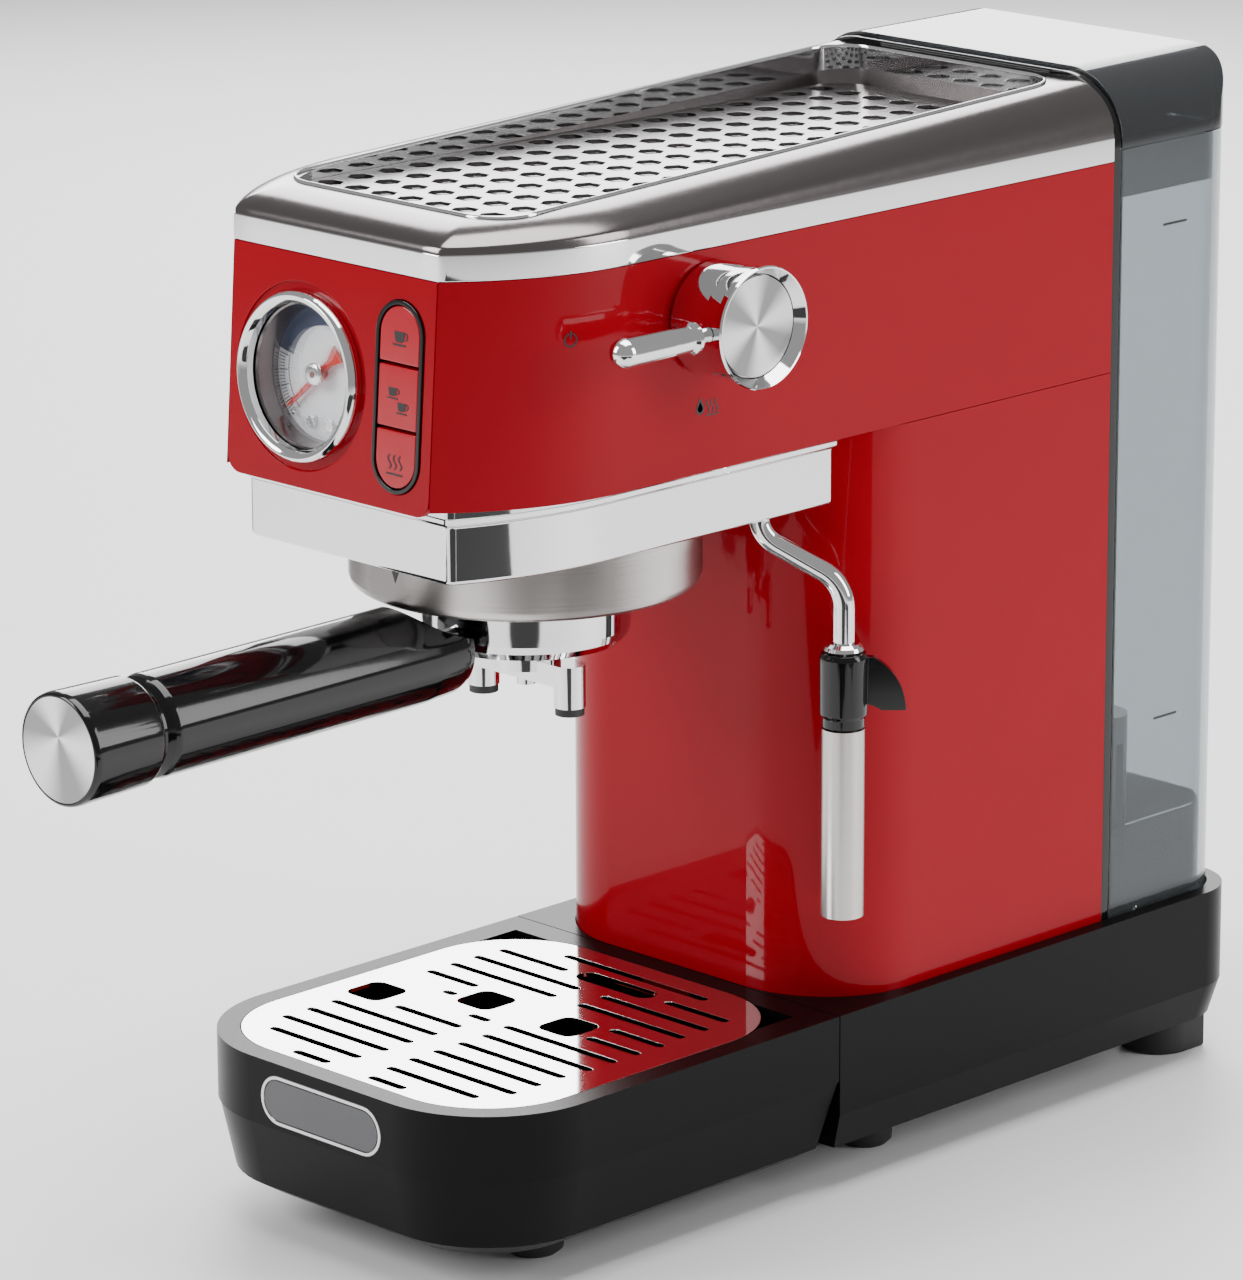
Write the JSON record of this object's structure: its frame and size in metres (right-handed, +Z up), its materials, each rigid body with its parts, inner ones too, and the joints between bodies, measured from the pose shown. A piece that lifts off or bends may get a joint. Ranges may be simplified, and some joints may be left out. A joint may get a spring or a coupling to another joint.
{
  "type": "espresso machine",
  "caption": "Slim espresso machine with a pressure gauge, steam wand, locking filter holder, pull-out drip tray and lidded rear water tank.",
  "frame": {"origin": "middle of the footprint, on the table", "axes": "+X to the steam knob's side, +Y from the handle to the water tank, +Z up"},
  "size_m": [0.144, 0.3992, 0.2985],
  "materials": {
    "red_paint": "gloss",
    "chrome": "polished",
    "dark_steel": "satin",
    "steel": "brushed",
    "black_gloss": "gloss",
    "black_matte": "matte",
    "rubber": "matte",
    "smoke": "clear tinted",
    "smoke_lid": "clear tinted",
    "grey_plastic": "satin",
    "aluminium": "cast",
    "brass": "satin",
    "board": "satin",
    "hose": "satin",
    "red_button": "gloss",
    "dial": "satin",
    "needle_red": "satin",
    "clear": "clear",
    "badge_metal": "satin"
  },
  "bodies": {
    "machine": {"base_housing": "black_gloss", "base_plate": "black_matte", "base_screws": "steel", "rear_feet": "rubber", "middle_feet": "rubber", "cord_gland": "black_matte", "column_shell": "red_paint", "rear_frame": "black_gloss", "head_shell": "red_paint", "front_panel": "red_paint", "top_rim": "dark_steel", "cup_plate": "steel", "chrome_collar": "chrome", "group_ring": "chrome", "brew_head": "aluminium", "group_seal": "rubber", "shower_screen": "steel", "screen_screw": "steel", "gauge_case": "chrome", "gauge_bezel": "chrome", "gauge_dial": "dial", "gauge_glass": "clear", "button_surround": "dark_steel", "switch_board": "board", "steam_valve": "brass", "wand_nut": "chrome", "boiler": "aluminium", "pump": "black_matte", "pump_mounts": "rubber", "hoses": "hose", "control_board": "board", "tank_seat": "rubber"},
    "tray": {"drip_tray": "black_gloss", "tray_feet": "rubber", "badge_plate": "badge_metal"},
    "grille": {"drip_grille": "steel"},
    "float": {"drip_float": "needle_red"},
    "portafilter": {"filter_holder": "chrome", "filter_basket": "steel", "spout": "chrome", "spout_tips": "black_matte", "handle_stud": "steel", "handle_grip": "black_gloss", "handle_cap": "black_gloss", "cap_disc": "steel"},
    "one_cup_button": {"button_one_cup": "red_button"},
    "two_cups_button": {"button_two_cups": "red_button"},
    "steam_button": {"button_steam": "red_button"},
    "needle": {"gauge_needle": "needle_red"},
    "knob": {"steam_knob": "chrome", "knob_disc": "steel", "steam_lever": "chrome"},
    "wand": {"steam_pipe": "chrome", "wand_washer": "chrome", "wand_grip": "black_gloss"},
    "sleeve": {"frother_sleeve": "steel"},
    "tank": {"water_tank": "smoke", "tank_valve": "grey_plastic"},
    "lid": {"tank_lid": "smoke_lid"}
  },
  "joints": [
    {"name": "tray_pull", "type": "slide", "parent": "machine", "child": "tray", "axis": [0, -1, 0], "range_m": [0, 0.15]},
    {"name": "grille_lift", "type": "slide", "parent": "tray", "child": "grille", "axis": [0, 0, 1], "range_m": [0, 0.06]},
    {"name": "float_rise", "type": "slide", "parent": "tray", "child": "float", "axis": [0, 0, 1], "range_m": [0, 0.008]},
    {"name": "holder_turn", "type": "hinge", "parent": "machine", "child": "portafilter", "pos_m": [-0.008, -0.03442, 0.18], "axis": [0, 0, 1], "range_deg": [-55, 0]},
    {"name": "one_cup_press", "type": "slide", "parent": "machine", "child": "one_cup_button", "axis": [0, 0.9976, -0.0698], "range_m": [0, 0.0015], "stiffness_N_per_m": 400},
    {"name": "two_cups_press", "type": "slide", "parent": "machine", "child": "two_cups_button", "axis": [0, 0.9976, -0.0698], "range_m": [0, 0.0015], "stiffness_N_per_m": 400},
    {"name": "steam_press", "type": "slide", "parent": "machine", "child": "steam_button", "axis": [0, 0.9976, -0.0698], "range_m": [0, 0.0015], "stiffness_N_per_m": 400},
    {"name": "needle_swing", "type": "hinge", "parent": "machine", "child": "needle", "pos_m": [-0.0194, -0.10468, 0.24178], "axis": [0, 0.9976, -0.0698], "range_deg": [0, 240], "stiffness_Nm_per_rad": 0.002},
    {"name": "knob_turn", "type": "hinge", "parent": "machine", "child": "knob", "pos_m": [0.062, -0.02442, 0.256], "axis": [1, 0, 0], "range_deg": [0, 90]},
    {"name": "wand_turn", "type": "hinge", "parent": "machine", "child": "wand", "pos_m": [0.0365, 0.01057, 0.19], "axis": [0, 0, 1], "range_deg": [-100, 0]},
    {"name": "sleeve_pull", "type": "slide", "parent": "wand", "child": "sleeve", "axis": [0, 0, -1], "range_m": [0, 0.025]},
    {"name": "tank_lift", "type": "slide", "parent": "machine", "child": "tank", "axis": [0, 0, 1], "range_m": [0, 0.12]},
    {"name": "lid_open", "type": "hinge", "parent": "tank", "child": "lid", "pos_m": [-0.008, 0.19498, 0.2774], "axis": [1, 0, 0], "range_deg": [-100, 0]}
  ]
}
